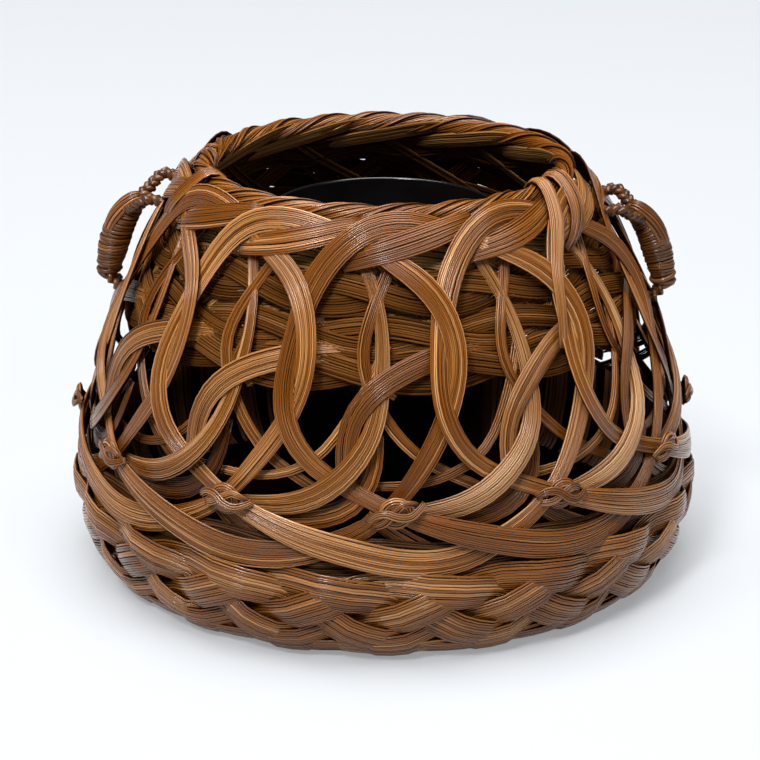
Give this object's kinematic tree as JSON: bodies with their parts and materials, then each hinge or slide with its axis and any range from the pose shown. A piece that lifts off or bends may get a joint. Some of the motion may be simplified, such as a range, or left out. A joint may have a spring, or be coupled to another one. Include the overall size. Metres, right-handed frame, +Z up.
{
  "type": "plaited bamboo basket with liner",
  "caption": "Round openwork basket of split-bamboo ribbons with a plaited base and rim, bound ear handles and a lift-out black lacquer liner.",
  "frame": {"origin": "middle of the underside, on the surface that the basket stands on", "axes": "+Z up, -Y to the front as pictured, +X to the right-hand handle"},
  "size_m": [0.3014, 0.3014, 0.1949],
  "materials": {
    "sweep_bamboo": "satin smoked bamboo splits",
    "loop_bamboo": "satin smoked bamboo splits",
    "hook_bamboo": "satin smoked bamboo splits",
    "knot_bamboo": "satin twisted bamboo splits",
    "band_bamboo": "dark smoked bamboo splits",
    "plait_bamboo": "satin smoked bamboo splits",
    "floor_bamboo": "dull dark bamboo",
    "handle_bamboo": "dark bent bamboo",
    "handle_cord": "dark glossy cane winding",
    "black_lacquer": "gloss black lacquer"
  },
  "bodies": {
    "basket": {"sweep_ribbon_01": "sweep_bamboo", "sweep_ribbon_02": "sweep_bamboo", "sweep_ribbon_03": "sweep_bamboo", "sweep_ribbon_04": "sweep_bamboo", "sweep_ribbon_05": "sweep_bamboo", "sweep_ribbon_06": "sweep_bamboo", "sweep_ribbon_07": "sweep_bamboo", "sweep_ribbon_08": "sweep_bamboo", "sweep_ribbon_09": "sweep_bamboo", "sweep_ribbon_10": "sweep_bamboo", "sweep_ribbon_11": "sweep_bamboo", "sweep_ribbon_12": "sweep_bamboo", "loop_ribbon_01": "loop_bamboo", "loop_ribbon_02": "loop_bamboo", "loop_ribbon_03": "loop_bamboo", "loop_ribbon_04": "loop_bamboo", "loop_ribbon_05": "loop_bamboo", "loop_ribbon_06": "loop_bamboo", "loop_ribbon_07": "loop_bamboo", "loop_ribbon_08": "loop_bamboo", "loop_ribbon_09": "loop_bamboo", "loop_ribbon_10": "loop_bamboo", "loop_ribbon_11": "loop_bamboo", "loop_ribbon_12": "loop_bamboo", "hook_ribbon_01": "hook_bamboo", "hook_ribbon_02": "hook_bamboo", "hook_ribbon_03": "hook_bamboo", "hook_ribbon_04": "hook_bamboo", "hook_ribbon_05": "hook_bamboo", "hook_ribbon_06": "hook_bamboo", "hook_ribbon_07": "hook_bamboo", "hook_ribbon_08": "hook_bamboo", "hook_ribbon_09": "hook_bamboo", "hook_ribbon_10": "hook_bamboo", "hook_ribbon_11": "hook_bamboo", "hook_ribbon_12": "hook_bamboo", "tie_knot_01": "knot_bamboo", "tie_knot_02": "knot_bamboo", "tie_knot_03": "knot_bamboo", "tie_knot_04": "knot_bamboo", "tie_knot_05": "knot_bamboo", "tie_knot_06": "knot_bamboo", "tie_knot_07": "knot_bamboo", "tie_knot_08": "knot_bamboo", "tie_knot_09": "knot_bamboo", "tie_knot_10": "knot_bamboo", "tie_knot_11": "knot_bamboo", "tie_knot_12": "knot_bamboo", "inner_band_lower": "band_bamboo", "inner_band_upper": "band_bamboo", "base_plait": "plait_bamboo", "basket_floor": "floor_bamboo", "floor_side": "floor_bamboo", "rim_plait": "plait_bamboo", "handle_core_right": "handle_bamboo", "handle_core_left": "handle_bamboo", "handle_binding_right": "handle_cord", "handle_binding_left": "handle_cord"},
    "liner": {"liner": "black_lacquer"}
  },
  "joints": [
    {"name": "liner_lift", "type": "slide", "parent": "basket", "child": "liner", "axis": [0, 0, 1], "range_m": [0, 0.2]}
  ]
}
